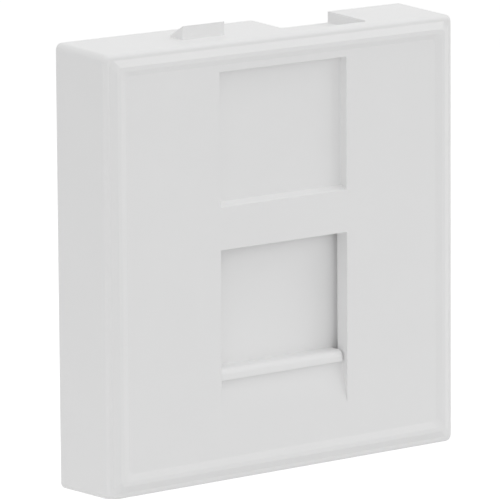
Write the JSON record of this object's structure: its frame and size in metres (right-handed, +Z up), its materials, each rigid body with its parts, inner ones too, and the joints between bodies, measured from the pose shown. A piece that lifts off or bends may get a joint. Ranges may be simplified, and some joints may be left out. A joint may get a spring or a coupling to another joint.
{
  "type": "ethernet socket module",
  "caption": "Square white snap-in wall module with an ethernet socket behind a spring-closed sliding shutter, below a bare label recess.",
  "frame": {"origin": "middle of the module's outline, in the plane of the housing's rear rim", "axes": "+X to the right as seen from the front, +Y into the wall, +Z up"},
  "size_m": [0.045, 0.0253, 0.0472],
  "materials": {
    "housing_white": "fine satin",
    "shutter_white": "fine satin",
    "carrier_white": "satin",
    "jack_plastic": "satin",
    "board": "solder mask",
    "contact_gold": "polished",
    "spring_steel": "drawn wire",
    "terminal_plastic": "satin",
    "cap_plastic": "satin",
    "terminal_metal": "tinned"
  },
  "bodies": {
    "housing": {"front_housing": "housing_white", "jack_carrier": "carrier_white", "jack_housing": "jack_plastic", "circuit_board": "board", "contact_1": "contact_gold", "contact_2": "contact_gold", "contact_3": "contact_gold", "contact_4": "contact_gold", "contact_5": "contact_gold", "contact_6": "contact_gold", "contact_7": "contact_gold", "contact_8": "contact_gold", "shutter_spring_left": "spring_steel", "idc_block_left": "terminal_plastic", "wire_cap_left": "cap_plastic", "idc_terminal_left_1": "terminal_metal", "idc_terminal_left_2": "terminal_metal", "idc_terminal_left_3": "terminal_metal", "idc_terminal_left_4": "terminal_metal", "shutter_spring_right": "spring_steel", "idc_block_right": "terminal_plastic", "wire_cap_right": "cap_plastic", "idc_terminal_right_1": "terminal_metal", "idc_terminal_right_2": "terminal_metal", "idc_terminal_right_3": "terminal_metal", "idc_terminal_right_4": "terminal_metal"},
    "shutter": {"shutter": "shutter_white"}
  },
  "joints": [
    {"name": "shutter_slide", "type": "slide", "parent": "housing", "child": "shutter", "axis": [0, 0, 1], "range_m": [0, 0.01205], "stiffness_N_per_m": 240, "springref_m": -0.002, "deforming": ["shutter_spring_left", "shutter_spring_right"]}
  ]
}
